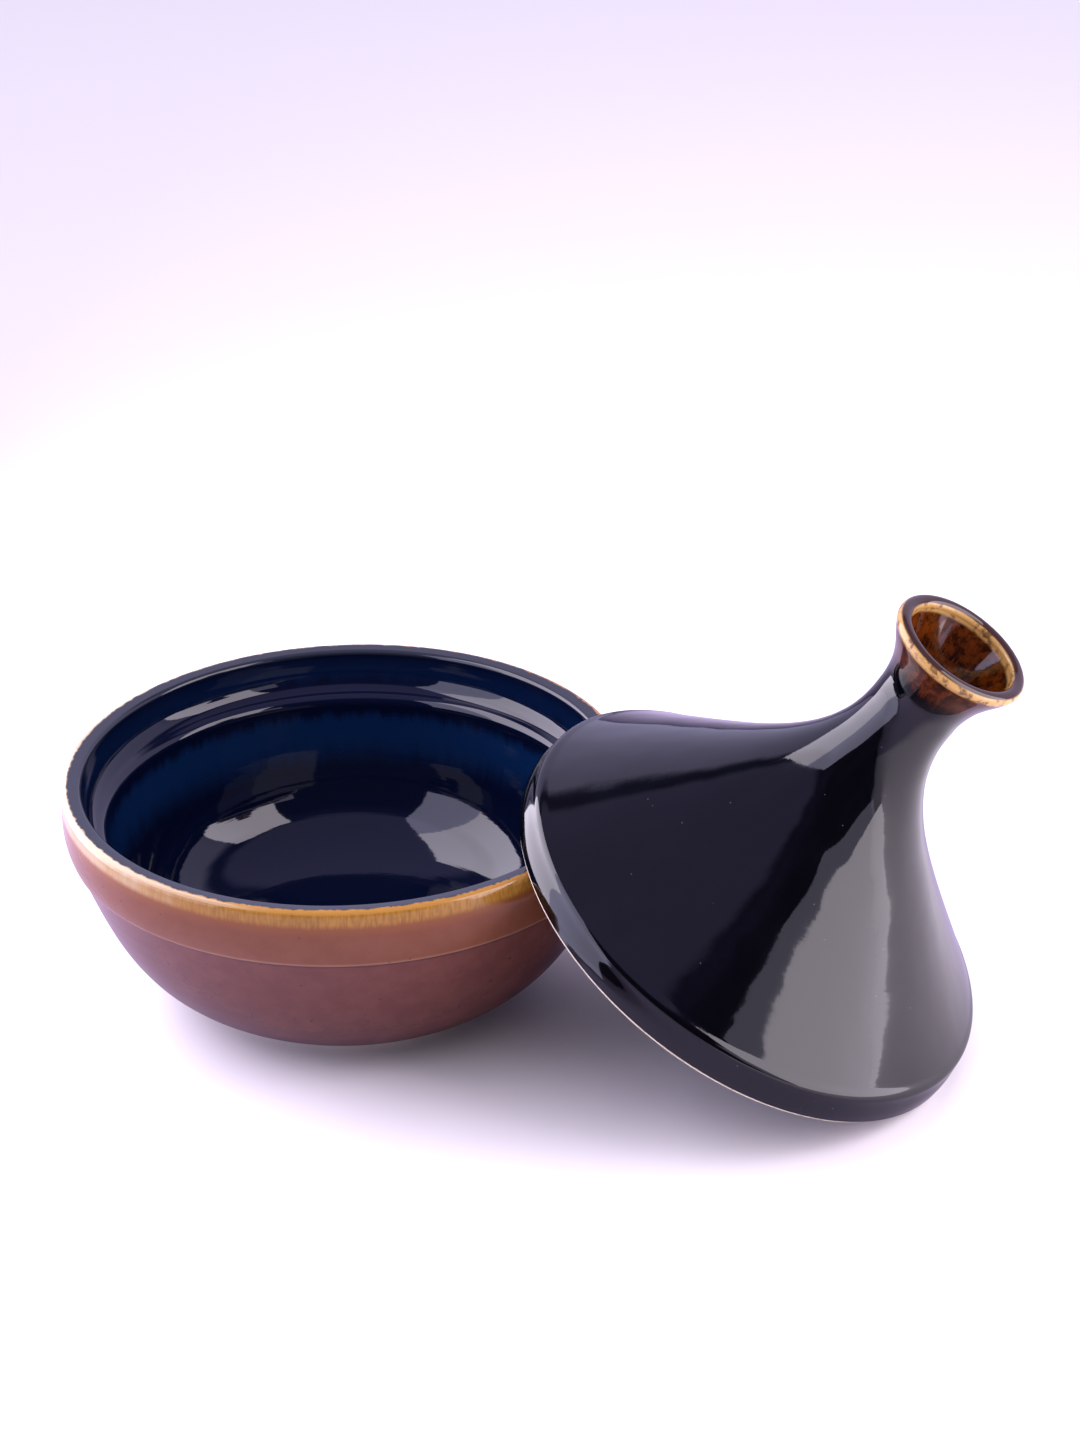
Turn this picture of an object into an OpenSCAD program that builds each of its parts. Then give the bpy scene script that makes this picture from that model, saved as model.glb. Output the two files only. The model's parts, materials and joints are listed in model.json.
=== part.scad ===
// Tagine pot: a glazed stoneware bowl and a conical lid that leans on the bowl's lip.
// Every outline is a half section in [radius, height], turned about its own axis.
// The origin is the centre of the bowl's foot, +Z is up, and the lid leans along +X.

/* [Bowl] */
// Widest diameter of the bowl, at its collar
bowl_d = 258.6; // [240:0.2:280]
// Height of the bowl's lip above the table
bowl_h = 107.4; // [104:0.2:109]
// Diameter of the foot ring
foot_d = 132; // [116:1:136]
// Height of the foot ring
foot_h = 3; // [2:0.5:4]
// Width of the foot ring's standing face
foot_w = 9; // [6:0.5:12]
// How far the underside is turned out inside the foot ring
foot_recess = 2; // [1:0.5:2.5]
// Height of the cooking surface above the table
floor_h = 9.5; // [8:0.5:12]

/* [Lip and ledge] */
// Width of the lip
lip_w = 9; // [8:0.2:9.6]
// Rounding of the lip's outer edge
lip_r = 3; // [2.5:0.1:3.5]
// Rounding of the lip's inner edge
lip_in_r = 2; // [1.5:0.1:2.4]
// Height of the collar below the top of the lip
collar_h = 27.6; // [24:0.2:31]
// Depth of the step under the collar
collar_step = 1.6; // [1:0.1:2.5]
// Depth of the ledge's outer crease below the lip
ledge_drop = 18.5; // [16:0.5:21]
// Width of the ledge that the lid sits on
ledge_w = 7; // [5:0.5:8]
// Gap between the seated lid and the wall round the ledge
lid_gap = 1.5; // [1:0.1:2.5]

/* [Lid] */
// Diameter of the lid at its rim
rim_d = 229.2; // [226:0.2:232]
// Width of the rim's flat underside
rim_w = 7; // [5:0.5:9]
// Height of the upright band round the rim
band_h = 13.8; // [12:0.2:15]
// Height of the knob's lip above the rim
lid_h = 177.2; // [168:0.2:188]
// Diameter of the neck at its narrowest
neck_d = 38.6; // [35:0.2:44]
// Height of the neck's narrowest place above the rim
neck_h = 137; // [130:1:140]
// Thickness of the lid's wall
lid_wall = 6.5; // [5.5:0.5:7.5]

/* [Knob] */
// Diameter of the flared knob
knob_d = 62.4; // [56:0.2:68]
// Radius of the knob's rounded lip
knob_lip_r = 3.1; // [2.6:0.1:3.6]
// Depth of the cup inside the knob
cup_depth = 39; // [32:1:40]

/* [Glaze] */
// Thickness of the glaze
glaze_t = 0.5; // [0.3:0.05:0.7]
// Height of bare clay above the foot ring
bare_foot = 1.5; // [0.5:0.5:3]
// Height of bare clay round the lid's rim
bare_rim = 1.8; // [1.6:0.1:3]

/* [How the lid leans] */
// Angle between the lid's axis and the vertical
lean = 32.1; // [31:0.1:34]
// Distance from the bowl's axis to the centre of the lid's rim
lean_x = 186.8; // [186.6:0.1:210]

/* [Hidden] */
$fn = 180;

bowl_r = bowl_d / 2;
foot_r = foot_d / 2;
rim_r = rim_d / 2;
neck_r = neck_d / 2;
knob_r = knob_d / 2;
rim_round = 1.5;                                // rounding of the lid's lower edge
lip_top = [bowl_r - lip_r - 0.3, bowl_h - lip_r];   // centre of the lip's outer rounding
lip_in = [bowl_r - 0.3 - lip_w + lip_in_r, bowl_h - 0.5 - lip_in_r];   // centre of its inner one
knob_lip = [knob_r - knob_lip_r, lid_h - knob_lip_r];

clay = "wheat";
copper = "saddlebrown";
cobalt = "midnightblue";
blue_black = [0.06, 0.06, 0.10];
amber = "chocolate";

// ---- outlines ---------------------------------------------------------------

// cubic curve from a to d with the handles b and c, in n steps, without its first point
function curve(a, b, c, d, n) =
    [for (i = [1:n]) let (t = i / n, u = 1 - t)
        u * u * u * a + 3 * u * u * t * b + 3 * u * t * t * c + t * t * t * d];

// arc about c, in n steps, from angle a to angle b
function arc(c, r, a, b, n) =
    [for (i = [0:n]) let (w = a + (b - a) * i / n) c + r * [cos(w), sin(w)]];

function unit(v) = v / norm(v);

// the line moved to its left by t, which is into the clay; a point on the axis stays on it
function inset(p, t) =
    [for (i = [0:len(p) - 1])
        let (d = unit(p[min(i + 1, len(p) - 1)] - p[max(i - 1, 0)]))
            [p[i][0] == 0 ? 0 : p[i][0] - t * d[1], p[i][1] + t * d[0]]];

function part_of(p, from, to) = [for (i = [from:to]) p[i]];
function backwards(p) = [for (i = [len(p) - 1:-1:0]) p[i]];

// Bowl: up the outside from the foot, over the lip, and down the inside to the axis
belly_top = [bowl_r - collar_step - 2.3, bowl_h - collar_h - 1.2];
belly_foot = [foot_r + 3.5, foot_h + bare_foot];
belly = concat([belly_foot],
    curve(belly_foot, [bowl_r * 0.81, bowl_h * 0.18], [bowl_r * 0.87, bowl_h * 0.385],
          belly_top, 26));
collar = concat([[bowl_r - 2.3, bowl_h - collar_h]],
    curve([bowl_r - 2.3, bowl_h - collar_h], [bowl_r + 0.7, bowl_h - collar_h * 0.72],
          [bowl_r + 0.3, bowl_h - collar_h * 0.4], lip_top + [lip_r, 0], 12));
lip_outside = part_of(arc(lip_top, lip_r, 0, 35, 4), 1, 4);
bowl_outside = concat(belly, collar, lip_outside);

crease = [rim_r + lid_gap, bowl_h - ledge_drop];
ledge_edge = crease - [ledge_w, 5.5];
lip_inside = concat(part_of(arc(lip_top, lip_r, 35, 97, 5), 1, 5),
    arc(lip_in, lip_in_r, 97, 190, 8));
lip_foot = lip_in + lip_in_r * [cos(190), sin(190)];
ledge_top = crease - [2, 0.7];
gallery = curve(lip_foot, lip_foot - [0.3, 7], crease + [3.4, 2.2], ledge_top, 14);
ledge = curve(ledge_top, crease - [4, 1.4], ledge_edge + [0.4, 3.8], ledge_edge, 8);
inner_wall = curve(ledge_edge, [bowl_r * 0.83, bowl_h * 0.20], [bowl_r * 0.66, floor_h],
                   [0, floor_h], 30);
bowl_line = concat(bowl_outside, lip_inside, gallery, ledge, inner_wall);
bowl_clay_line = inset(bowl_line, glaze_t);
bowl_split = len(bowl_outside) - 1;

// Lid: up the outside from the rim, round the knob's lip, and down inside its cup
band_top = [rim_r - 0.9, band_h];
shoulder_top = [rim_r - 5.2, band_h + 5];
lid_outside = concat([[rim_r, bare_rim], [rim_r + 0.1, bare_rim + 3]],
    curve([rim_r + 0.1, bare_rim + 3], [rim_r, 9], band_top - [0, 3], band_top, 6),
    curve(band_top, band_top + [-0.1, 2.7], shoulder_top + [2.1, -1.9], shoulder_top, 8),
    curve(shoulder_top, [rim_r * 0.426, neck_h * 0.537], [neck_r, neck_h * 0.733],
          [neck_r, neck_h], 34),
    curve([neck_r, neck_h], [neck_r, neck_h + 8], [neck_r + 0.3, neck_h + 10],
          [neck_r + 1.2, neck_h + 14], 5));
flare = curve([neck_r + 1.2, neck_h + 14], [neck_r + 3.3, neck_h + 24],
              knob_lip + [0, -7.4], knob_lip + knob_lip_r * [cos(-28), sin(-28)], 10);
knob_edge = part_of(arc(knob_lip, knob_lip_r, -28, 195, 18), 1, 18);
cup_side = curve(knob_edge[17], knob_edge[17] + [-3.5, -10], [14, lid_h - cup_depth + 11],
                 [10, lid_h - cup_depth + 4], 12);
cup_floor = curve([10, lid_h - cup_depth + 4], [8, lid_h - cup_depth + 0.5],
                  [4, lid_h - cup_depth], [0, lid_h - cup_depth], 6);
lid_line = concat(lid_outside, flare, knob_edge, cup_side, cup_floor);
lid_clay_line = inset(lid_line, glaze_t);
lid_split = len(lid_outside) - 1;

// Hollow of the lid: from the axis, down the inside of the cone, to the rim
hollow_r = neck_r - lid_wall + 0.5;
hollow_top = neck_h - 9;
hollow_foot = [rim_r - lid_wall - 2.7, band_h + 1.5];
hollow = concat([[0, hollow_top]],
    curve([0, hollow_top], [hollow_r * 0.6, hollow_top], [hollow_r, hollow_top - 4],
          [hollow_r, hollow_top - 10], 6),
    curve([hollow_r, hollow_top - 10], [hollow_r, neck_h * 0.70],
          [rim_r * 0.40, neck_h * 0.50], hollow_foot, 30),
    curve(hollow_foot, hollow_foot + [2, -1.8], [rim_r - rim_w, band_h - 2],
          [rim_r - rim_w, band_h - 5], 6),
    [[rim_r - rim_w, bare_rim]]);
hollow_clay_line = inset(hollow, glaze_t);

// ---- how the pieces are made ------------------------------------------------

module turned(outline) rotate_extrude() polygon(outline);

// a coat of glaze between the visible line and the clay under it
module coat(line, clay_line, from, to)
    turned(concat(part_of(line, from, to), backwards(part_of(clay_line, from, to))));

// the lid as it leans: its rim's low edge on the table, its high edge on the bowl's lip
lean_z = (rim_r - glaze_t - rim_round) * sin(lean) + rim_round * (1 - cos(lean));
module leaning() translate([lean_x, 0, lean_z]) rotate([0, lean, 0]) children();

// ---- the bowl ---------------------------------------------------------------

module bowl_clay_body() color(clay) turned(concat(
    [[0, foot_recess], [foot_r - foot_w - 1, foot_recess], [foot_r - foot_w, 0]],
    [[foot_r - 0.8, 0], [foot_r, 0.8], [foot_r, foot_h - 1], [foot_r + 0.6, foot_h]],
    bowl_clay_line));

module bowl_outer_glaze() color(copper) coat(bowl_line, bowl_clay_line, 0, bowl_split);

module bowl_inner_glaze() color(cobalt)
    coat(bowl_line, bowl_clay_line, bowl_split, len(bowl_line) - 1);

// ---- the lid ----------------------------------------------------------------

module lid_clay_body() color(clay) leaning() turned(concat(
    hollow_clay_line,
    [[rim_r - rim_w, bare_rim], [rim_r - rim_w, 1], [rim_r - rim_w + 1, 0]],
    arc([rim_r - glaze_t - rim_round, rim_round], rim_round, -90, 0, 6),
    lid_clay_line));

module lid_outer_glaze() color(blue_black) leaning()
    coat(lid_line, lid_clay_line, 0, lid_split);

module lid_inner_glaze() color(blue_black) leaning()
    coat(hollow, hollow_clay_line, 0, len(hollow) - 1);

module knob_glaze() color(amber) leaning()
    coat(lid_line, lid_clay_line, lid_split, len(lid_line) - 1);

bowl_clay_body();
bowl_outer_glaze();
bowl_inner_glaze();
lid_clay_body();
lid_outer_glaze();
lid_inner_glaze();
knob_glaze();
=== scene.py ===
"""A glazed stoneware tagine: a cooking bowl, and a tall lid that leans on the bowl's lip.

Every outline is a half section in (radius, height), in metres, turned about its own axis.
"""

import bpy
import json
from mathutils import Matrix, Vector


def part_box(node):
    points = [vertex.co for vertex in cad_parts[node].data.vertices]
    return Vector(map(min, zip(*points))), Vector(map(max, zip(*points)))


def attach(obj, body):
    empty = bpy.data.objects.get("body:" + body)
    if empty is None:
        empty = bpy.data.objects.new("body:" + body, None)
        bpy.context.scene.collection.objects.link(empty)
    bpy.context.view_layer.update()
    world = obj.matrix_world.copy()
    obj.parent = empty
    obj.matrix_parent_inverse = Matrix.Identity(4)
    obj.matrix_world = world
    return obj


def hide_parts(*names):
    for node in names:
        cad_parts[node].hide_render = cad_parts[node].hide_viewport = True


bl_info = {
    "name": "Stoneware tagine",
    "version": (1, 0, 0),
    "blender": (4, 5, 0),
    "location": "3D View > Sidebar > Tagine",
    "description": "Makes a glazed stoneware tagine, with its bowl and its leaning lid",
    "category": "Object",
}

import json
from math import atan2, cos, pi, radians, sin, tau

import bmesh
import bpy
from bpy.props import FloatProperty, FloatVectorProperty, IntProperty, PointerProperty
from mathutils import Matrix, Vector

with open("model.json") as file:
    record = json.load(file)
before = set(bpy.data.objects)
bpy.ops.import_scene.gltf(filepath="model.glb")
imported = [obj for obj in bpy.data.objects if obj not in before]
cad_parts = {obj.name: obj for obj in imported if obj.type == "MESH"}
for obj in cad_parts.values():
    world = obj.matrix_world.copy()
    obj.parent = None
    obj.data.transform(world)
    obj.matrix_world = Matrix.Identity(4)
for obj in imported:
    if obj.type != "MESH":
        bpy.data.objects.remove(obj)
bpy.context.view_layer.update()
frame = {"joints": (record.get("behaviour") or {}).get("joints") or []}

MM = 0.001
LIFT_AXIS = frame["joints"][0]["axis"]          # the lid's own axis, as it leans
LEAN = atan2(LIFT_AXIS[0], LIFT_AXIS[2])
BOWL_SEED, LID_SEED = 3.0, 11.0                 # each piece has its own throwing marks
POT_MIDDLE = Vector((0.16, 0, 0))               # the point on the table that the lights face
BOWL_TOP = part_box("bowl_inner_glaze")[1].z


# ---- sizes and colours that a user would change ---------------------------------------

def length(name, description, default):
    return FloatProperty(name=name, description=description, default=default, min=0.0,
                         unit="LENGTH", precision=4)


def colour(name, description, default):
    return FloatVectorProperty(name=name, description=description, default=default, size=3,
                               min=0.0, max=1.0, subtype="COLOR")


class BowlSizes(bpy.types.PropertyGroup):
    radius: length("Radius", "Outer radius at the collar", 129.3 * MM)
    height: length("Height", "Height of the lip above the table", BOWL_TOP)
    foot_radius: length("Foot radius", "Outer radius of the foot ring", 66 * MM)
    foot_height: length("Foot height", "Height of the foot ring", 3 * MM)
    foot_width: length("Foot width", "Width of the foot ring's standing face", 9 * MM)
    foot_recess: length("Foot recess", "How far the underside is turned out", 2 * MM)
    floor_height: length("Floor height", "Height of the cooking surface", 9.5 * MM)
    lip_width: length("Lip width", "Width of the lip", 9 * MM)
    lip_radius: length("Lip radius", "Rounding of the lip's outer edge", 3 * MM)
    lip_inner_radius: length("Lip inner radius", "Rounding of the lip's inner edge", 2 * MM)
    collar_height: length("Collar height", "Depth of the collar below the lip", 27.6 * MM)
    collar_step: length("Collar step", "Depth of the step under the collar", 1.6 * MM)
    ledge_drop: length("Ledge drop", "Depth of the ledge's crease below the lip", 18.5 * MM)
    ledge_width: length("Ledge width", "Width of the ledge that the lid sits on", 7 * MM)
    ledge_radius: length("Ledge radius", "Radius of the ledge's crease", 116.1 * MM)


class LidSizes(bpy.types.PropertyGroup):
    radius: length("Radius", "Radius of the rim", 114.6 * MM)
    rim_width: length("Rim width", "Width of the rim's flat underside", 7 * MM)
    band_height: length("Band height", "Height of the upright band round the rim", 13.8 * MM)
    height: length("Height", "Height of the knob's lip above the rim", 177.2 * MM)
    neck_radius: length("Neck radius", "Radius of the neck at its narrowest", 19.3 * MM)
    neck_height: length("Neck height", "Height of the neck's narrowest place", 137 * MM)
    wall: length("Wall", "Thickness of the wall", 6.5 * MM)
    knob_radius: length("Knob radius", "Radius of the flared knob", 31.2 * MM)
    knob_lip_radius: length("Knob lip radius", "Radius of the knob's rounded lip", 3.1 * MM)
    cup_depth: length("Cup depth", "Depth of the cup in the knob", 39 * MM)
    reach: length("Reach", "Distance from the bowl's axis to the rim's centre", 186.8 * MM)
    lean: FloatProperty(name="Lean", description="Angle of the lid's axis from upright",
                        default=LEAN, subtype="ANGLE")


class GlazeSizes(bpy.types.PropertyGroup):
    thickness: length("Thickness", "Thickness of every coat of glaze", 0.5 * MM)
    bare_foot: length("Bare foot", "Bare clay above the foot ring", 1.5 * MM)
    bare_rim: length("Bare rim", "Bare clay round the lid's rim", 1.8 * MM)
    rim_rounding: length("Rim rounding", "Rounding of the lid's lower edge", 1.5 * MM)


class ThrowingMarks(bpy.types.PropertyGroup):
    segments: IntProperty(name="Segments", description="Faces round the axis", default=288,
                          min=24, max=360)
    ripple: length("Ripple", "Height of the marks that the fingers leave", 0.16 * MM)
    pitch: length("Pitch", "Distance from one mark to the next", 13 * MM)
    unevenness: length("Unevenness", "How far a turned piece is out of round", 0.25 * MM)


class Finishes(bpy.types.PropertyGroup):
    clay: colour("Clay", "Bare fired clay", (0.72, 0.63, 0.50))
    copper: colour("Copper", "Glaze on the bowl's collar", (0.160, 0.048, 0.017))
    belly: colour("Belly", "The same glaze on the bowl's belly", (0.115, 0.032, 0.020))
    ochre: colour("Ochre", "Where the copper glaze breaks golden", (0.36, 0.17, 0.03))
    # cream is partly a painted reflection: it goes on the side of the bowl that faces the left
    # softbox
    cream: colour("Cream", "Where the copper glaze breaks pale", (0.42, 0.30, 0.17))
    lip: colour("Lip", "Dark top of the bowl's lip", (0.012, 0.014, 0.022))
    cobalt: colour("Cobalt", "Glaze inside the bowl where it is bluest", (0.0020, 0.012, 0.048))
    midnight: colour("Midnight", "Glaze inside the bowl", (0.0012, 0.0025, 0.012))
    night: colour("Night", "Blue-black glaze of the lid", (0.0008, 0.0008, 0.0016))
    amber: colour("Amber", "Glaze on the knob", (0.105, 0.021, 0.002))
    lip_brown: colour("Lip brown", "Top of the knob's lip", (0.030, 0.012, 0.008))
    gold: colour("Gold", "Edges of the knob's lip", (0.52, 0.30, 0.10))


class StudioSettings(bpy.types.PropertyGroup):
    azimuth: FloatProperty(name="Azimuth", description="Camera's turn round the pot",
                           default=radians(18.5), subtype="ANGLE")
    elevation: FloatProperty(name="Elevation", description="Camera's height angle",
                             default=radians(27.63), subtype="ANGLE")
    roll: FloatProperty(name="Roll", description="Camera's roll", default=radians(-0.72),
                        subtype="ANGLE")
    lens: FloatProperty(name="Lens", description="Camera's focal length in millimetres",
                        default=84.9, min=10, max=300)
    distance: length("Distance", "From the camera to the point it aims at", 1.5447)
    aim: FloatVectorProperty(name="Aim", description="Point that the camera aims at",
                             default=(0.0810, 0.0372, 0.1257), size=3, subtype="TRANSLATION")
    floor: colour("Floor", "Pale floor", (0.86, 0.82, 0.84))
    # painted shade: the darker grey that the glaze reflects in place of the pale floor
    floor_reflected_shade: colour("Floor reflected", "The floor as the glaze shows it",
                            (0.42, 0.37, 0.50))


# ---- outlines -------------------------------------------------------------------------

def at(radius, height):
    return Vector((radius, height))


def curve(start, leaving, arriving, end, steps):
    """Cubic curve from start to end by two handles, without its first point."""
    points = []
    for i in range(1, steps + 1):
        t = i / steps
        u = 1 - t
        from_ends = u**3 * start + t**3 * end
        points.append(from_ends + 3 * u * u * t * leaving + 3 * u * t * t * arriving)
    return points


def arc(centre, radius, first, last, steps):
    """Arc about centre between two angles in degrees, without its first point."""
    angles = [radians(first + (last - first) * i / steps) for i in range(1, steps + 1)]
    return [centre + radius * at(cos(a), sin(a)) for a in angles]


def inset(line, depth):
    """The line moved to its left by depth, which is into the clay."""
    moved = []
    for i, point in enumerate(line):
        along = (line[min(i + 1, len(line) - 1)] - line[max(i - 1, 0)]).normalized()
        radius = 0.0 if point.x == 0 else point.x - depth * along.y
        moved.append(at(radius, point.y + depth * along.x))
    return moved


def coat(line, clay_line, bare_start=False, bare_end=False):
    """Closed section of a coat of glaze; an edge that meets bare clay is rounded."""
    half = (line[0] - clay_line[0]) / 2
    start = [(line[0] + clay_line[0]) / 2 - (line[1] - line[0]).normalized() * half.length]
    end = [(line[-1] + clay_line[-1]) / 2 + (line[-1] - line[-2]).normalized() * half.length]
    section = line + (end if bare_end else []) + clay_line[::-1] + (start if bare_start else [])
    return section + [section[0]]


def bowl_outlines(bowl, glaze):
    """Sections of the bowl's clay, its outer coat and its inner coat."""
    top, radius = bowl.height, bowl.radius
    lip = at(radius - bowl.lip_radius - 0.3 * MM, top - bowl.lip_radius)
    belly_foot = at(bowl.foot_radius + 3.5 * MM, bowl.foot_height + glaze.bare_foot)
    belly_top = at(radius - bowl.collar_step - 2.3 * MM, top - bowl.collar_height - 1.2 * MM)
    collar_foot = at(radius - 2.3 * MM, top - bowl.collar_height)
    outside = [belly_foot]
    outside += curve(belly_foot, at(radius * 0.81, top * 0.18), at(radius * 0.87, top * 0.385),
                     belly_top, 64)
    outside += curve(belly_top, belly_top + at(0.3, 0.9) * MM, collar_foot + at(-0.9, -0.3) * MM,
                     collar_foot, 6)
    outside += curve(collar_foot, at(radius + 0.7 * MM, top - bowl.collar_height * 0.72),
                     at(radius + 0.3 * MM, top - bowl.collar_height * 0.4),
                     lip + at(bowl.lip_radius, 0), 30)
    outside += arc(lip, bowl.lip_radius, 0, 35, 8)

    inner = bowl.lip_inner_radius
    lip_inside = at(radius - 0.3 * MM - bowl.lip_width + inner, top - 0.5 * MM - inner)
    crease = at(bowl.ledge_radius, top - bowl.ledge_drop)
    ledge_edge = crease - at(bowl.ledge_width, 5.5 * MM)
    inside = arc(lip, bowl.lip_radius, 35, 97, 12)
    inside += [lip_inside + inner * at(cos(radians(97)), sin(radians(97)))]
    inside += arc(lip_inside, inner, 97, 190, 16)
    ledge_top = crease - at(2, 0.7) * MM
    inside += curve(inside[-1], inside[-1] - at(0.3, 7) * MM, crease + at(3.4, 2.2) * MM,
                    ledge_top, 28)
    inside += curve(ledge_top, crease - at(4, 1.4) * MM, ledge_edge + at(0.4, 3.8) * MM,
                    ledge_edge, 16)
    inside += curve(ledge_edge, at(radius * 0.83, top * 0.20),
                    at(radius * 0.66, bowl.floor_height), at(0, bowl.floor_height), 84)

    line = outside + inside
    clay_line = inset(line, glaze.thickness)
    split = len(outside)
    foot_inside = bowl.foot_radius - bowl.foot_width
    foot = [at(0, bowl.foot_recess), at(foot_inside - 1 * MM, bowl.foot_recess),
            at(foot_inside, 0), at(bowl.foot_radius - 0.8 * MM, 0),
            at(bowl.foot_radius, 0.8 * MM), at(bowl.foot_radius, bowl.foot_height - 1 * MM),
            at(bowl.foot_radius + 0.6 * MM, bowl.foot_height)]
    return {
        "clay": foot + clay_line,
        "outer": coat(line[:split], clay_line[:split], bare_start=True),
        "inner": coat(line[split - 1:], clay_line[split - 1:]),
    }


def lid_outlines(lid, glaze):
    """Sections of the lid's clay and of its outer, knob and inner coats."""
    rim, neck, neck_z = lid.radius, lid.neck_radius, lid.neck_height
    foot = at(rim, glaze.bare_rim)
    band_foot = foot + at(0.1, 3) * MM
    band_top = at(rim - 0.9 * MM, lid.band_height)
    shoulder = at(rim - 5.2 * MM, lid.band_height + 5 * MM)
    waist = at(neck, neck_z)
    glaze_change = waist + at(1.2, 14) * MM
    outside = [foot] + curve(foot, foot + at(0, 1) * MM, band_foot - at(0, 1) * MM, band_foot, 3)
    outside += curve(band_foot, at(rim, 9 * MM), band_top - at(0, 3) * MM, band_top, 10)
    outside += curve(band_top, band_top + at(-0.1, 2.7) * MM, shoulder + at(2.1, -1.9) * MM,
                     shoulder, 16)
    outside += curve(shoulder, at(rim * 0.426, neck_z * 0.537), at(neck, neck_z * 0.733), waist, 84)
    outside += curve(waist, waist + at(0, 8) * MM, waist + at(0.3, 10) * MM, glaze_change, 10)

    lip_radius = lid.knob_lip_radius
    lip = at(lid.knob_radius - lip_radius, lid.height - lip_radius)
    lip_foot = lip + lip_radius * at(cos(radians(-28)), sin(radians(-28)))
    knob = curve(glaze_change, waist + at(3.3, 24) * MM, lip - at(0, 7.4 * MM), lip_foot, 22)
    knob += arc(lip, lip_radius, -28, 195, 36)
    cup_floor = lid.height - lid.cup_depth
    cup_foot = at(10 * MM, cup_floor + 4 * MM)
    knob += curve(knob[-1], knob[-1] - at(3.5, 10) * MM, at(14 * MM, cup_floor + 11 * MM),
                  cup_foot, 26)
    knob += curve(cup_foot, at(8 * MM, cup_floor + 0.5 * MM), at(4 * MM, cup_floor),
                  at(0, cup_floor), 10)

    line = outside + knob
    clay_line = inset(line, glaze.thickness)
    split = len(outside)
    top = neck_z - 9 * MM
    throat = neck - lid.wall + 0.5 * MM
    cone_foot = at(rim - lid.wall - 2.7 * MM, lid.band_height + 1.5 * MM)
    rim_inside = at(rim - lid.rim_width, lid.band_height - 5 * MM)
    hollow = [at(0, top)] + curve(at(0, top), at(throat * 0.6, top), at(throat, top - 4 * MM),
                                  at(throat, top - 10 * MM), 10)
    hollow += curve(hollow[-1], at(throat, neck_z * 0.70), at(rim * 0.40, neck_z * 0.50),
                    cone_foot, 60)
    hollow += curve(cone_foot, cone_foot + at(2, -1.8) * MM, rim_inside + at(0, 3) * MM,
                    rim_inside, 12)
    hollow += [at(rim_inside.x, rim_inside.y * k + glaze.bare_rim * (1 - k)) for k in (0.5, 0)]
    hollow_clay = inset(hollow, glaze.thickness)

    rounding = glaze.rim_rounding
    edge = [at(rim_inside.x, glaze.bare_rim), at(rim_inside.x, 1 * MM),
            at(rim_inside.x + 1 * MM, 0)]
    edge_centre = at(rim - glaze.thickness - rounding, rounding)
    edge += arc(edge_centre, rounding, -91, 0, 8)
    return {
        "clay": hollow_clay + edge + clay_line,
        "outer": coat(line[:split], clay_line[:split], bare_start=True),
        "knob": coat(line[split - 1:], clay_line[split - 1:]),
        "inner": coat(hollow, hollow_clay, bare_end=True),
    }


# ---- node helpers ---------------------------------------------------------------------

def feed(tree, socket, value):
    """Links another node's output to the socket, or sets the socket's own value."""
    if isinstance(value, bpy.types.NodeSocket):
        tree.links.new(value, socket)
    elif isinstance(value, tuple) and len(value) == 3 and socket.type == "RGBA":
        socket.default_value = (*value, 1.0)
    else:
        socket.default_value = value


def node(tree, kind, settings=None, **values):
    """A new node, its settings, and its inputs by name with _ for a space."""
    made = tree.nodes.new(kind)
    for key, value in (settings or {}).items():
        setattr(made, key, value)
    for key, value in values.items():
        feed(tree, made.inputs[key.replace("_", " ")], value)
    return made


def calc(tree, operation, *values, clamp=False):
    made = tree.nodes.new("ShaderNodeMath")
    made.operation = operation
    made.use_clamp = clamp
    for socket, value in zip(made.inputs, values):
        feed(tree, socket, value)
    return made.outputs[0]


def vector_calc(tree, operation, *values):
    made = tree.nodes.new("ShaderNodeVectorMath")
    made.operation = operation
    for socket, value in zip(made.inputs, values):
        feed(tree, socket, value)
    return made.outputs[0]


def new_sockets(tree, direction, sockets):
    for name, kind in sockets.items():
        tree.interface.new_socket(name, in_out=direction, socket_type=f"NodeSocket{kind}")


# ---- the wheel: turns an outline into a thrown piece ----------------------------------

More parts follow.
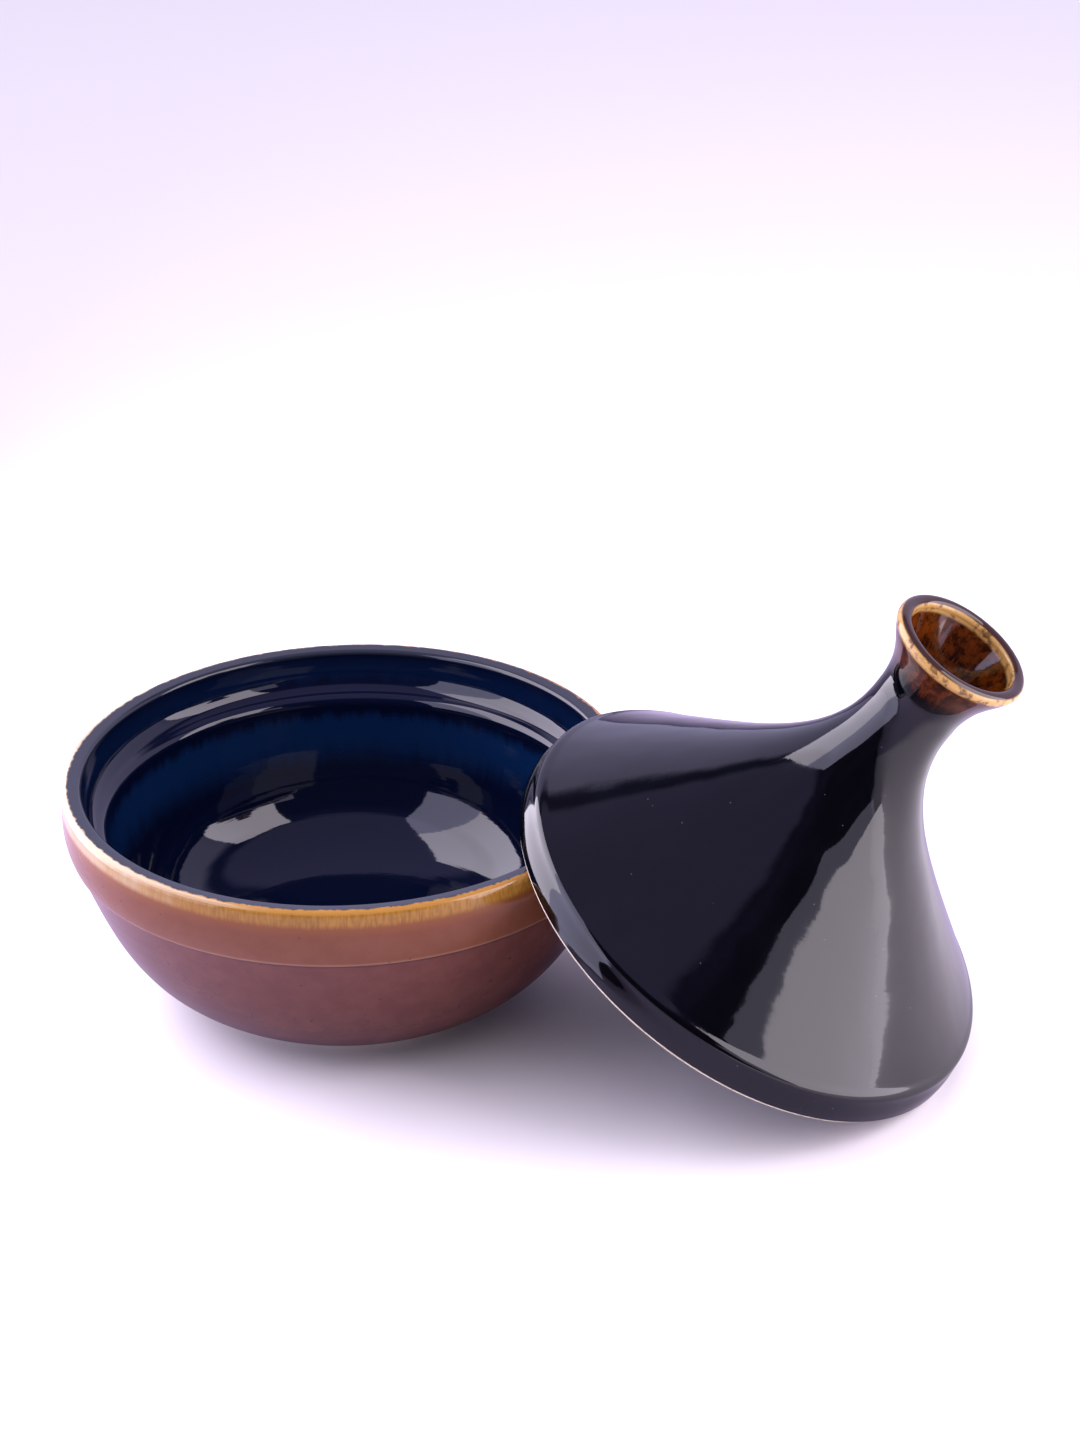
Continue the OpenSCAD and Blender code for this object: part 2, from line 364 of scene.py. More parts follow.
def wheel_tree():
    """Geometry nodes that turn the points of an outline about Z, with throwing marks."""
    tree = bpy.data.node_groups.new("Turned on the wheel", "GeometryNodeTree")
    tree.is_modifier = True
    new_sockets(tree, "INPUT", {
        "Outline": "Geometry", "Segments": "Int", "Ripple": "Float", "Pitch": "Float",
        "Unevenness": "Float", "Seed": "Float", "Lean": "Float", "Place": "Vector",
        "Finish": "Material"})
    new_sockets(tree, "OUTPUT", {"Piece": "Geometry"})
    given = node(tree, "NodeGroupInput").outputs

    points = node(tree, "GeometryNodeAttributeDomainSize", Geometry=given["Outline"]).outputs[0]
    columns = calc(tree, "ADD", given["Segments"], 1.0)
    grid = node(tree, "GeometryNodeMeshGrid", Vertices_X=columns, Vertices_Y=points)
    index = node(tree, "GeometryNodeInputIndex").outputs[0]
    column = calc(tree, "FLOOR", calc(tree, "DIVIDE", index, points))
    row = calc(tree, "SUBTRACT", index, calc(tree, "MULTIPLY", column, points))
    turn = calc(tree, "MULTIPLY", calc(tree, "DIVIDE", column, given["Segments"]), tau)

    position = node(tree, "GeometryNodeInputPosition").outputs[0]
    sample = node(tree, "GeometryNodeSampleIndex", {"data_type": "FLOAT_VECTOR"},
                  Geometry=given["Outline"], Value=position, Index=row).outputs[0]
    outline = node(tree, "ShaderNodeSeparateXYZ", Vector=sample).outputs
    radius, height = outline["X"], outline["Z"]
    round_x, round_y = calc(tree, "COSINE", turn), calc(tree, "SINE", turn)

    # finger marks follow the height and the radius, and drift a little round the axis
    level = calc(tree, "DIVIDE", calc(tree, "ADD", height, calc(tree, "MULTIPLY", radius, 0.6)),
                 given["Pitch"])
    drift = 0.55
    mark_place = node(tree, "ShaderNodeCombineXYZ", X=calc(tree, "MULTIPLY", round_x, drift),
                      Y=calc(tree, "MULTIPLY", round_y, drift),
                      Z=calc(tree, "ADD", level, given["Seed"]))
    marks = node(tree, "ShaderNodeTexNoise", Vector=mark_place.outputs[0], Scale=1.0, Detail=1.0)
    wobble_place = node(tree, "ShaderNodeCombineXYZ", X=round_x, Y=round_y,
                        Z=calc(tree, "ADD", calc(tree, "MULTIPLY", level, 0.2), given["Seed"]))
    wobble = node(tree, "ShaderNodeTexNoise", Vector=wobble_place.outputs[0], Scale=0.8,
                  Detail=0.0)
    centred_marks = vector_calc(tree, "SUBTRACT", marks.outputs["Color"], (0.5, 0.5, 0.5))
    centred_wobble = vector_calc(tree, "SUBTRACT", wobble.outputs["Color"], (0.5, 0.5, 0.5))
    mark = node(tree, "ShaderNodeSeparateXYZ", Vector=centred_marks).outputs
    sway = node(tree, "ShaderNodeSeparateXYZ", Vector=centred_wobble).outputs

    # nothing moves at the axis or where the piece stands
    off_axis = calc(tree, "MULTIPLY", radius, 1 / (12 * MM), clamp=True)
    off_table = calc(tree, "MULTIPLY", height, 1 / (6 * MM), clamp=True)
    free = calc(tree, "MULTIPLY", off_axis, off_table)
    ripple = calc(tree, "MULTIPLY", given["Ripple"], 2.0)
    uneven = calc(tree, "MULTIPLY", given["Unevenness"], 2.0)
    out = calc(tree, "ADD", calc(tree, "MULTIPLY", mark["X"], ripple),
               calc(tree, "MULTIPLY", sway["X"], uneven))
    up = calc(tree, "MULTIPLY", mark["Y"], ripple)
    thrown_radius = calc(tree, "ADD", radius, calc(tree, "MULTIPLY", out, free))
    thrown_height = calc(tree, "ADD", height, calc(tree, "MULTIPLY", up, free))
    thrown = node(tree, "ShaderNodeCombineXYZ", X=calc(tree, "MULTIPLY", thrown_radius, round_x),
                  Y=calc(tree, "MULTIPLY", thrown_radius, round_y), Z=thrown_height)
    shaped = node(tree, "GeometryNodeSetPosition", Geometry=grid.outputs["Mesh"],
                  Position=thrown.outputs[0]).outputs[0]

    # the finishes read these: the direction round the axis, and the outline's own place
    round_vector = node(tree, "ShaderNodeCombineXYZ", X=round_x, Y=round_y).outputs[0]
    for name, kind, value in (("round", "FLOAT_VECTOR", round_vector), ("height", "FLOAT", height),
                              ("radius", "FLOAT", radius)):
        shaped = node(tree, "GeometryNodeStoreNamedAttribute",
                      {"data_type": kind, "domain": "POINT"},
                      Geometry=shaped, Name=name, Value=value).outputs[0]
    closed = node(tree, "GeometryNodeMergeByDistance", Geometry=shaped,
                  Distance=0.002 * MM).outputs[0]
    corner = calc(tree, "GREATER_THAN", node(tree, "GeometryNodeInputMeshEdgeAngle").outputs[0],
                  radians(45))
    soft = node(tree, "GeometryNodeSetShadeSmooth", {"domain": "FACE"}, Geometry=closed,
                Shade_Smooth=True).outputs[0]
    smooth = node(tree, "GeometryNodeSetShadeSmooth", {"domain": "EDGE"}, Geometry=soft,
                  Selection=corner, Shade_Smooth=False).outputs[0]
    turned = node(tree, "ShaderNodeCombineXYZ", Y=given["Lean"]).outputs[0]
    placed = node(tree, "GeometryNodeTransform", Geometry=smooth, Translation=given["Place"],
                  Rotation=turned).outputs[0]
    whole = node(tree, "GeometryNodeRealizeInstances", Geometry=placed).outputs[0]
    finished = node(tree, "GeometryNodeSetMaterial", Geometry=whole, Material=given["Finish"])
    result = node(tree, "NodeGroupOutput")
    tree.links.new(finished.outputs[0], result.inputs["Piece"])
    return tree


def throw(name, outline, finish, seed, lean=0.0, place=(0.0, 0.0, 0.0)):
    """A plain closed mesh, turned from an outline."""
    marks = bpy.context.scene.tagine_marks
    mesh = bpy.data.meshes.new(f"{name} outline")
    mesh.from_pydata([(p.x, 0, p.y) for p in outline],
                     [(i, i + 1) for i in range(len(outline) - 1)], [])
    piece = bpy.data.objects.new(name, mesh)
    bpy.context.scene.collection.objects.link(piece)
    tree = bpy.data.node_groups.get("Turned on the wheel") or wheel_tree()
    wheel = piece.modifiers.new("Wheel", "NODES")
    wheel.node_group = tree
    values = {"Segments": marks.segments, "Ripple": marks.ripple, "Pitch": marks.pitch,
              "Unevenness": marks.unevenness, "Seed": seed, "Lean": lean, "Place": place,
              "Finish": finish}
    for item in tree.interface.items_tree:
        if item.in_out == "INPUT" and item.name in values:
            wheel[item.identifier] = values[item.name]
    graph = bpy.context.evaluated_depsgraph_get()
    plain = bpy.data.meshes.new_from_object(piece.evaluated_get(graph), depsgraph=graph,
                                            preserve_all_data_layers=True)
    piece.modifiers.remove(wheel)
    piece.data = plain
    plain.name = name
    bpy.data.meshes.remove(mesh)
    if len(plain.polygons) == 0:
        raise RuntimeError(f"{name} came off the wheel empty")
    face_outwards(plain)
    return piece


def face_outwards(mesh):
    shell = bmesh.new()
    shell.from_mesh(mesh)
    bmesh.ops.recalc_face_normals(shell, faces=shell.faces)
    if shell.calc_volume(signed=True) < 0:
        bmesh.ops.reverse_faces(shell, faces=shell.faces)
    shell.to_mesh(mesh)
    shell.free()


def lid_place(lid, glaze):
    """Where the rim's centre goes, so that the leaning lid's low edge is on the table."""
    rounding = glaze.rim_rounding
    edge = (lid.radius - glaze.thickness - rounding) * sin(lid.lean)
    return Vector((lid.reach, 0, edge + rounding * (1 - cos(lid.lean))))


def join_to_frame(piece, body, cad_node):
    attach(piece, body)
    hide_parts(cad_node)


# ---- finishes -------------------------------------------------------------------------

def named(tree, name, output="Fac"):
    """What the wheel left on the piece: round, height or radius."""
    return node(tree, "ShaderNodeAttribute", {"attribute_name": name}).outputs[output]


def span(tree, value, low, high, to_low=0.0, to_high=1.0):
    """Value taken smoothly from low..high to to_low..to_high."""
    made = node(tree, "ShaderNodeMapRange", {"interpolation_type": "SMOOTHSTEP"}, Value=value,
                From_Min=low, From_Max=high, To_Min=to_low, To_Max=to_high)
    return made.outputs["Result"]


def blend(tree, amount, first, second):
    made = tree.nodes.new("ShaderNodeMix")
    made.data_type = "RGBA"
    sockets = {socket.identifier: socket for socket in made.inputs}
    for identifier, value in (("Factor_Float", amount), ("A_Color", first), ("B_Color", second)):
        feed(tree, sockets[identifier], value)
    return next(o for o in made.outputs if o.identifier == "Result_Color")


def ramp(tree, amount, stops):
    made = tree.nodes.new("ShaderNodeValToRGB")
    feed(tree, made.inputs[0], amount)
    elements = made.color_ramp.elements
    while len(elements) < len(stops):
        elements.new(0.5)
    for element, (place, shade) in zip(elements, stops):
        element.position = place
        element.color = (*shade, 1.0)
    return made.outputs["Color"]


def noise(tree, place, scale, detail=2.0, roughness=0.5):
    return node(tree, "ShaderNodeTexNoise", Vector=place, Scale=scale, Detail=detail,
                Roughness=roughness).outputs["Fac"]


def effect(name, inputs, output):
    """An empty effect group: its tree, its named inputs and the socket for its one output."""
    tree = bpy.data.node_groups.new(name, "ShaderNodeTree")
    new_sockets(tree, "INPUT", inputs)
    new_sockets(tree, "OUTPUT", {output: "Float"})
    given = tree.nodes.new("NodeGroupInput").outputs
    return tree, given, tree.nodes.new("NodeGroupOutput").inputs[0]


def runs_group():
    """Streaks that the melted glaze draws down a wall, or towards the axis on a flat place."""
    tree, given, result = effect("Glaze runs", {"Round": "Float", "Down": "Float",
                                                "Low": "Float", "High": "Float"}, "Mask")
    scale = node(tree, "ShaderNodeCombineXYZ", X=given["Round"], Y=given["Round"]).outputs[0]
    turn = vector_calc(tree, "MULTIPLY", named(tree, "round", "Vector"), scale)
    slope = calc(tree, "SUBTRACT", named(tree, "height"), named(tree, "radius"))
    fall = calc(tree, "MULTIPLY", slope, given["Down"])
    place = vector_calc(tree, "ADD", turn, node(tree, "ShaderNodeCombineXYZ", Z=fall).outputs[0])
    streaks = noise(tree, place, 1.0, 3.0, 0.6)
    tree.links.new(span(tree, streaks, given["Low"], given["High"]), result)
    return tree


def specks_group():
    """Small round specks, each in its own cell; Amount is the share of cells that have one."""
    tree, given, result = effect("Specks", {"Scale": "Float", "Amount": "Float",
                                            "Size": "Float"}, "Mask")
    place = tree.nodes.new("ShaderNodeTexCoord").outputs["Object"]
    cells = node(tree, "ShaderNodeTexVoronoi", Vector=place, Scale=given["Scale"])
    near = calc(tree, "LESS_THAN", cells.outputs["Distance"], given["Size"])
    chance = node(tree, "ShaderNodeSeparateColor", Color=cells.outputs["Color"]).outputs[0]
    kept = calc(tree, "LESS_THAN", chance, given["Amount"])
    tree.links.new(calc(tree, "MULTIPLY", near, kept), result)
    return tree


def skin_group():
    """Height of a melted surface: long swells, fine orange peel and turning lines."""
    tree, given, result = effect("Glaze skin", {"Swell": "Float", "Peel": "Float",
                                                "Lines": "Float"}, "Height")
    place = tree.nodes.new("ShaderNodeTexCoord").outputs["Object"]
    swell = calc(tree, "MULTIPLY", noise(tree, place, 42.0, 1.0), given["Swell"])
    peel = calc(tree, "MULTIPLY", noise(tree, place, 330.0, 2.0), given["Peel"])
    turned = node(tree, "ShaderNodeCombineXYZ", X=named(tree, "height"),
                  Y=named(tree, "radius")).outputs[0]
    lines = calc(tree, "MULTIPLY", noise(tree, turned, 520.0, 2.0), given["Lines"])
    tree.links.new(calc(tree, "ADD", calc(tree, "ADD", swell, peel), lines), result)
    return tree


def use(tree, name, **values):
    """Places an effect in a material, with the material's own values."""
    groups = {"Glaze runs": runs_group, "Specks": specks_group, "Glaze skin": skin_group}
    made = tree.nodes.new("ShaderNodeGroup")
    made.node_tree = bpy.data.node_groups.get(name) or groups[name]()
    for key, value in values.items():
        feed(tree, made.inputs[key], value)
    return made.outputs[0]


def new_finish(name):
    finish = bpy.data.materials.new(name)
    finish.use_nodes = True
    tree = finish.node_tree
    tree.nodes.clear()
    shader = tree.nodes.new("ShaderNodeBsdfPrincipled")
    result = tree.nodes.new("ShaderNodeOutputMaterial")
    tree.links.new(shader.outputs[0], result.inputs["Surface"])
    return finish, tree, shader


def darker(shade, factor):
    """A colour property times a factor, as a plain tuple."""
    return tuple(factor * channel for channel in shade)


def waver(tree, value, mask, amount):
    """Value moved up and down by half the amount, where the mask is high or low."""
    return calc(tree, "ADD", value,
                calc(tree, "MULTIPLY", calc(tree, "SUBTRACT", mask, 0.5), amount))


def between(tree, value, low, low_full, high_full, high):
    """A band: 0 below low, 1 from low_full to high_full, and 0 above high."""
    return calc(tree, "MULTIPLY", span(tree, value, low, low_full),
                span(tree, value, high, high_full))


def golden_edge_and_reflection(tree, tones, place_round):
    """The pale edge of the copper glaze: cream on one side of the bowl, ochre on the other; the
    cream is partly a painted reflection of the left softbox, which faces that side.
    """
    return blend(tree, span(tree, place_round, -0.55, 0.25), tuple(tones.cream),
                 tuple(tones.ochre))


def side_of_bowl(tree):
    """-1 on the side away from the lid, 1 on the lid's side."""
    return node(tree, "ShaderNodeSeparateXYZ",
                Vector=named(tree, "round", "Vector")).outputs["X"]


def surface(tree, shader, shade, roughness, height):
    """Sets the finish's colour, roughness and relief; height 1 stands 1 mm proud."""
    feed(tree, shader.inputs["Base Color"], shade)
    feed(tree, shader.inputs["Roughness"], roughness)
    feed(tree, shader.inputs["IOR"], 1.5)
    bump = node(tree, "ShaderNodeBump", Strength=1.0, Distance=1 * MM, Height=height)
    tree.links.new(bump.outputs[0], shader.inputs["Normal"])


def clay_finish(tones):
    """Bare stoneware: buff, with a fine grain and a few iron specks."""
    finish, tree, shader = new_finish("bare stoneware")
    place = tree.nodes.new("ShaderNodeTexCoord").outputs["Object"]
    cloud = noise(tree, place, 60.0, 4.0)
    shade = blend(tree, span(tree, cloud, 0.3, 0.7), tuple(tones.clay), darker(tones.clay, 0.82))
    iron = use(tree, "Specks", Scale=700.0, Amount=0.12, Size=0.28)
    iron_brown = (0.16, 0.09, 0.05)
    shade = blend(tree, calc(tree, "MULTIPLY", iron, 0.7), shade, iron_brown)
    grain = noise(tree, place, 2400.0, 3.0)
    surface(tree, shader, shade, span(tree, grain, 0.2, 0.8, 0.62, 0.85),
            calc(tree, "MULTIPLY", grain, 0.12))
    return finish


def copper_body(tree, tones, depth, top):
    """Copper on the collar, redder and darker down the belly, with the step between them drawn as a
    painted highlight over a painted shade line.
    """
    step = 0.262
    body = ramp(tree, calc(tree, "DIVIDE", depth, top), [
        (0.10, tuple(tones.copper)), (step, tuple(tones.copper)),
        (step + 0.01, tuple(tones.belly)), (0.95, darker(tones.belly, 0.62))])
    place = tree.nodes.new("ShaderNodeTexCoord").outputs["Object"]
    # the second colour here is the tint of the painted highlight on the step's edge
    pale, highlight_tint = (0.34, 0.14, 0.09), (0.42, 0.22, 0.14)
    # the first colour here is the painted shade in the groove under the step
    groove_shade, pit_brown = (0.035, 0.012, 0.010), (0.03, 0.010, 0.006)
    mottle = span(tree, noise(tree, place, 90.0, 5.0, 0.65), 0.35, 0.65)
    body = blend(tree, calc(tree, "MULTIPLY", mottle, 0.07), body, pale)
    # a painted highlight along the step's edge, and a painted shade line in the groove under it
    edge = top * step
    step_highlight = between(tree, depth, edge - 2.4 * MM, edge - 1.0 * MM, edge - 0.6 * MM, edge)
    body = blend(tree, calc(tree, "MULTIPLY", step_highlight, 0.30), body, highlight_tint)
    # painted shade: a dark line in the groove under the step
    groove_shade_mask = between(tree, depth, edge - 0.9 * MM, edge - 0.2 * MM, edge + 0.6 * MM,
                   edge + 1.6 * MM)
    body = blend(tree, calc(tree, "MULTIPLY", groove_shade_mask, 0.8), body, groove_shade)
    pits = use(tree, "Specks", Scale=260.0, Amount=0.10, Size=0.16)
    return blend(tree, calc(tree, "MULTIPLY", pits, 0.5), body, pit_brown)


def copper_finish(tones, top):
    """Copper-brown outside the bowl, that breaks to cream and ochre at the lip; the cream is partly
    a painted reflection.
    """
    finish, tree, shader = new_finish("copper glaze")
    depth = calc(tree, "SUBTRACT", top, named(tree, "height"))
    fine = use(tree, "Glaze runs", Round=120.0, Down=160.0, Low=0.30, High=0.70)
    broad = use(tree, "Glaze runs", Round=7.0, Down=14.0, Low=0.25, High=0.75)
    body = copper_body(tree, tones, depth, top)

    # the golden band under the lip, with dark streaks where it is ochre
    turned = calc(tree, "ADD", side_of_bowl(tree), calc(tree, "MULTIPLY", broad, 0.5))
    streak = calc(tree, "MULTIPLY", fine, span(tree, turned, -0.4, 0.5, 0.08, 0.50))
    olive, tan = (0.11, 0.050, 0.008), (0.20, 0.065, 0.018)
    # cream on the side away from the lid is partly a painted reflection of the left softbox
    gold = blend(tree, streak, golden_edge_and_reflection(tree, tones, turned), olive)
    ragged = calc(tree, "ADD", depth, calc(tree, "MULTIPLY", fine, 0.3 * MM))
    shade = blend(tree, span(tree, ragged, 5.4 * MM, 8.6 * MM), gold, tan)
    shade = blend(tree, span(tree, ragged, 7.8 * MM, 13 * MM), shade, body)
    skin = use(tree, "Glaze skin", Swell=0.12, Peel=0.012, Lines=0.05)
    gloss = span(tree, ragged, 8 * MM, 20 * MM, 0.10, 0.22)
    surface(tree, shader, shade, gloss, skin)
    return finish


def cobalt_finish(tones, bowl):
    """Cobalt inside the bowl, bluest under the ledge, with the copper glaze over its lip."""
    finish, tree, shader = new_finish("cobalt glaze")
    height, top = named(tree, "height"), bowl.height
    fine = use(tree, "Glaze runs", Round=30.0, Down=14.0, Low=0.15, High=0.85)
    ledge = top - bowl.ledge_drop - 5.5 * MM
    wander = waver(tree, height, fine, 5 * MM)
    under = between(tree, wander, ledge - 34 * MM, ledge - 16 * MM, ledge - 9 * MM,
                    ledge - 2 * MM)
    shade = blend(tree, under, tuple(tones.midnight), tuple(tones.cobalt))
    wall = calc(tree, "MULTIPLY", span(tree, wander, ledge + 7 * MM, ledge + 14 * MM),
                span(tree, height, top - 1 * MM, top - 8 * MM))
    shade = blend(tree, calc(tree, "MULTIPLY", wall, 0.35), shade, tuple(tones.cobalt))
    rim = span(tree, height, top - 3.0 * MM, top - 1.4 * MM)
    shade = blend(tree, rim, shade, tuple(tones.lip))

    # the pale edge of the copper glaze laps over the outer part of the lip; its cream side is
    # partly a painted reflection
    lap = calc(tree, "SUBTRACT", named(tree, "radius"), bowl.radius - 3.6 * MM)
    lap = waver(tree, lap, fine, 1.6 * MM)
    shade = blend(tree, span(tree, lap, 0, 1.2 * MM), shade,
                  golden_edge_and_reflection(tree, tones, side_of_bowl(tree)))
    skin = use(tree, "Glaze skin", Swell=0.14, Peel=0.006, Lines=0.02)
    surface(tree, shader, shade, 0.045, skin)
    return finish


def black_finish(tones):
    """Blue-black of the lid, with tiny pale pinholes and faint dull smears."""
    finish, tree, shader = new_finish("blue-black glaze")
    tint = use(tree, "Glaze runs", Round=5.0, Down=25.0, Low=0.4, High=0.7)
    shade = blend(tree, tint, tuple(tones.night), darker(tones.night, 1.8))
    pinholes = use(tree, "Specks", Scale=330.0, Amount=0.05, Size=0.10)
    pinhole_grey = (0.10, 0.10, 0.12)
    shade = blend(tree, calc(tree, "MULTIPLY", pinholes, 0.6), shade, pinhole_grey)
    smears = use(tree, "Glaze runs", Round=11.0, Down=9.0, Low=0.30, High=0.72)
    skin = use(tree, "Glaze skin", Swell=0.40, Peel=0.012, Lines=0.01)
    surface(tree, shader, shade, span(tree, smears, 0.0, 1.0, 0.03, 0.075), skin)
    return finish


def amber_finish(tones, lid):
    """Amber-brown knob with a gold line on each edge of its lip."""
    finish, tree, shader = new_finish("amber glaze")
    height, radius = named(tree, "height"), named(tree, "radius")
    place = tree.nodes.new("ShaderNodeTexCoord").outputs["Object"]
    fine = use(tree, "Glaze runs", Round=26.0, Down=45.0, Low=0.35, High=0.65)
    cloud = span(tree, noise(tree, place, 210.0, 4.0, 0.7), 0.42, 0.62)
    body = blend(tree, cloud, tuple(tones.amber), darker(tones.amber, 0.16))
    body = blend(tree, calc(tree, "MULTIPLY", fine, 0.55), body, darker(tones.amber, 0.3))

    # the lip is dark on top, with a broken gold line on its outer and its inner edge
    lip, outer, inner = lid.height, lid.knob_radius, lid.knob_radius - 2 * lid.knob_lip_radius
    near_lip = span(tree, height, lip - 7.5 * MM, lip - 3.5 * MM)
    lip_top = span(tree, height, lip - 2.6 * MM, lip - 0.9 * MM)
    shade = blend(tree, lip_top, body, tuple(tones.lip_brown))
    outer_edge = span(tree, radius, outer - 1.0 * MM, outer - 0.35 * MM)
    inner_edge = between(tree, radius, inner - 0.7 * MM, inner - 0.1 * MM, inner + 0.4 * MM,
                         inner + 0.9 * MM)
    edges = calc(tree, "ADD", outer_edge, inner_edge, clamp=True)
    gaps = span(tree, noise(tree, place, 260.0, 3.0, 0.7), 0.36, 0.52, 0.25, 1.0)
    broken = calc(tree, "MULTIPLY", calc(tree, "MULTIPLY", edges, near_lip), gaps)
    shade = blend(tree, broken, shade, tuple(tones.gold))

    # down the neck the amber sinks into the lid's blue-black
    change = lid.neck_height + 14 * MM
    outside = span(tree, radius, lid.neck_radius - 2 * MM, lid.neck_radius - 0.5 * MM)
    low = waver(tree, height, fine, 7 * MM)
    sunk = calc(tree, "MULTIPLY", span(tree, low, change + 11 * MM, change + 4 * MM), outside)
    shade = blend(tree, sunk, shade, tuple(tones.night))
    skin = use(tree, "Glaze skin", Swell=0.05, Peel=0.008, Lines=0.01)
    surface(tree, shader, shade, 0.06, skin)
    return finish


# ---- operators ------------------------------------------------------------------------

class TAGINE_OT_bowl(bpy.types.Operator):
    """Throw the bowl: its clay and its two coats of glaze"""
    bl_idname = "tagine.bowl"
    bl_label = "Bowl"

    def execute(self, context):
        scene = context.scene
        bowl, tones = scene.tagine_bowl, scene.tagine_finishes
        lines = bowl_outlines(bowl, scene.tagine_glaze)
        for name, line, finish, slot in (
                ("bowl_clay_body", "clay", clay_finish(tones), "bare_clay"),
                ("bowl_outer_glaze", "outer", copper_finish(tones, bowl.height), "copper_glaze"),
                ("bowl_inner_glaze", "inner", cobalt_finish(tones, bowl), "cobalt_glaze")):
            piece = throw(f"{name}_piece", lines[line], finish, BOWL_SEED)
            join_to_frame(piece, "bowl", name)
        return {"FINISHED"}


class TAGINE_OT_lid(bpy.types.Operator):
    """Throw the leaning lid: its clay and its coats of glaze"""
    bl_idname = "tagine.lid"
    bl_label = "Lid"

    def execute(self, context):
        scene = context.scene
        lid, glaze, tones = scene.tagine_lid, scene.tagine_glaze, scene.tagine_finishes
        lines = lid_outlines(lid, glaze)
        black = black_finish(tones)
        for name, line, finish, slot in (
                ("lid_clay_body", "clay", clay_finish(tones), "bare_clay"),
                ("lid_outer_glaze", "outer", black, "black_glaze"),
                ("lid_inner_glaze", "inner", black, "black_glaze"),
                ("knob_glaze", "knob", amber_finish(tones, lid), "amber_glaze")):
            piece = throw(f"{name}_piece", lines[line], finish, LID_SEED, lid.lean,
                          lid_place(lid, glaze))
            join_to_frame(piece, "lid", name)
        return {"FINISHED"}


class TAGINE_OT_studio(bpy.types.Operator):
    """Lay the pale floor, set the soft lights and place the camera"""
    bl_idname = "tagine.studio"
    bl_label = "Studio"

    def execute(self, context):
        studio = context.scene.tagine_studio
        lay_floor(studio)
        set_lights()
        set_room()
        place_camera(studio)
        context.scene.view_settings.view_transform = "Standard"
        return {"FINISHED"}


def lay_floor(studio):
    """A pale floor; the glaze reflects it with a painted shade, a darker grey, on the bowl's side
    of the lid, and in its own colour beyond.
    """
    side = 12.0
    mesh = bpy.data.meshes.new("floor")
    mesh.from_pydata([(-side, -side, 0), (side, -side, 0), (side, side, 0), (-side, side, 0)],
                     [], [(0, 1, 2, 3)])
    floor = bpy.data.objects.new("floor", mesh)
    bpy.context.scene.collection.objects.link(floor)
    finish, tree, shader = new_finish("pale floor")
    glossy = tree.nodes.new("ShaderNodeLightPath").outputs["Is Glossy Ray"]
    place = tree.nodes.new("ShaderNodeTexCoord").outputs["Object"]
    along = node(tree, "ShaderNodeSeparateXYZ", Vector=place).outputs["X"]
    # painted shade: glossy rays see the floor darker, except beyond the lid
    beyond = span(tree, along, 0.26, 0.34)
    shaded_reflection = blend(tree, beyond, tuple(studio.floor_reflected_shade), tuple(studio.floor))
    shade = blend(tree, glossy, tuple(studio.floor), shaded_reflection)
    tree.links.new(shade, shader.inputs["Base Color"])
    feed(tree, shader.inputs["Roughness"], 0.8)
    feed(tree, shader.inputs["Specular IOR Level"], 0.0)
    mesh.materials.append(finish)


def area_light(name, width, height, radiance, tint):
    """A rectangular light whose face has that radiance."""
    light = bpy.data.lights.new(name, "AREA")
    light.shape = "RECTANGLE"
    light.size, light.size_y = width, height
    light.energy = radiance * pi * width * height
    light.color = tint
    lamp = bpy.data.objects.new(name, light)
    bpy.context.scene.collection.objects.link(lamp)
    return lamp


def softbox(name, azimuth, distance, sides, low, high, radiance, tint):
    """An upright light that faces the pot, from one side of its middle line to the other."""
    left, right = sides
    lamp = area_light(name, right - left, high - low, radiance, tint)
    away = Vector((sin(radians(azimuth)), cos(radians(azimuth)), 0))
    across = Vector((away.y, -away.x, 0)) * (left + right) / 2
    middle = POT_MIDDLE + away * distance + across + Vector((0, 0, (low + high) / 2))
    facing = away.to_track_quat("Z", "Y").to_matrix().to_4x4()
    lamp.matrix_world = Matrix.Translation(middle) @ facing
    lamp.visible_camera = False


def set_lights():
    """A softbox on each side, the left one with a dimmer wing, a card, and a ceiling."""
    left, right = -102, 103                      # azimuths in degrees from +Y towards +X
    softbox("left softbox", left, 0.50, (-0.07, 0.42), 0.03, 0.94, 5.4, (0.93, 0.86, 1.0))
    softbox("left wing", left, 0.50, (-0.44, -0.07), 0.03, 0.94, 3.0, (0.72, 0.70, 1.0))
    softbox("right softbox", right, 0.80, (-0.55, 0.24), 0.0, 1.35, 5.2, (0.94, 0.86, 0.96))
    softbox("card", right, 0.80, (0.24, 0.46), 0.10, 0.62, 1.5, (0.72, 0.68, 0.90))
    ceiling = area_light("ceiling", 6.0, 6.0, 1.05, (1.0, 0.965, 0.93))
    ceiling.location = (0, 0, 2.6)
    ceiling.visible_glossy = False               # it whitens the floor, unseen in the glaze


